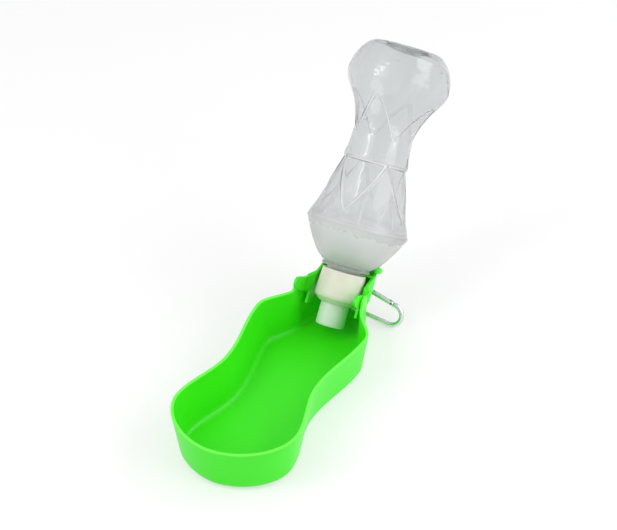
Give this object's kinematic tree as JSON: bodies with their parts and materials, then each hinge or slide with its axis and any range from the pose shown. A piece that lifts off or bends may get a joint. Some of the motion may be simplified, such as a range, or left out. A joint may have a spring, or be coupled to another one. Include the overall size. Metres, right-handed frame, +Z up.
{
  "type": "dog travel water bottle",
  "caption": "Folding pet water bottle: waisted drinking trough with a hinged neck bracket, clear bottle held upside down, push-pull screw cap and snap hook.",
  "frame": {"origin": "on the flat underside of the trough, in the plane of symmetry and straight below the hinge line", "axes": "+Z up, -Y towards the nose of the trough, X along the hinge line; x = 0 is the plane of symmetry"},
  "size_m": [0.086, 0.299, 0.1798],
  "materials": {
    "lime_plastic": "smooth moulded, vivid lime green",
    "clear_plastic": "clear blown bottle wall",
    "ivory_plastic": "smooth ivory",
    "milky_plastic": "smooth milky white",
    "liner_foam": "matte",
    "seal_rubber": "matte",
    "hook_metal": "polished",
    "pin_steel": "dark"
  },
  "bodies": {
    "trough": {"trough": "lime_plastic", "hinge_pin_left": "lime_plastic", "hinge_pin_right": "lime_plastic"},
    "carrier": {"bracket": "lime_plastic", "bottle": "clear_plastic"},
    "liner": {"cap_liner": "liner_foam"},
    "cap": {"screw_cap": "ivory_plastic", "stem_seal": "seal_rubber"},
    "nozzle": {"pull_nozzle": "milky_plastic"},
    "hook": {"hook_frame": "hook_metal"},
    "gate": {"hook_gate": "hook_metal", "gate_pin": "pin_steel"}
  },
  "joints": [
    {"name": "fold", "type": "hinge", "parent": "trough", "child": "carrier", "pos_m": [0, 0, 0.0384], "axis": [1, 0, 0], "range_deg": [0, 122]},
    {"name": "cap_travel", "type": "slide", "parent": "carrier", "child": "liner", "axis": [0, -0.592, -0.8059], "range_m": [0, 0.0016]},
    {"name": "cap_turn", "type": "hinge", "parent": "liner", "child": "cap", "pos_m": [0, 0.01169, 0.02982], "axis": [0, -0.592, -0.8059], "range_deg": [0, 180]},
    {"name": "nozzle_push", "type": "slide", "parent": "cap", "child": "nozzle", "axis": [0, 0.592, 0.8059], "range_m": [0, 0.0042]},
    {"name": "hook_swing", "type": "hinge", "parent": "carrier", "child": "hook", "pos_m": [0, 0.02868, 0.01646], "axis": [0.2194, 0.342, 0.9137], "range_deg": [0, 90]},
    {"name": "gate_open", "type": "hinge", "parent": "hook", "child": "gate", "pos_m": [0.03035, 0.03125, 0.01643], "axis": [0.0798, -0.9397, 0.3326], "range_deg": [0, 30], "stiffness_Nm_per_rad": 0.02, "springref_deg": -17.19}
  ],
  "couplings": [
    {"joint": "cap_travel", "follows": "cap_turn", "m_per_rad": 0.00050611}
  ]
}
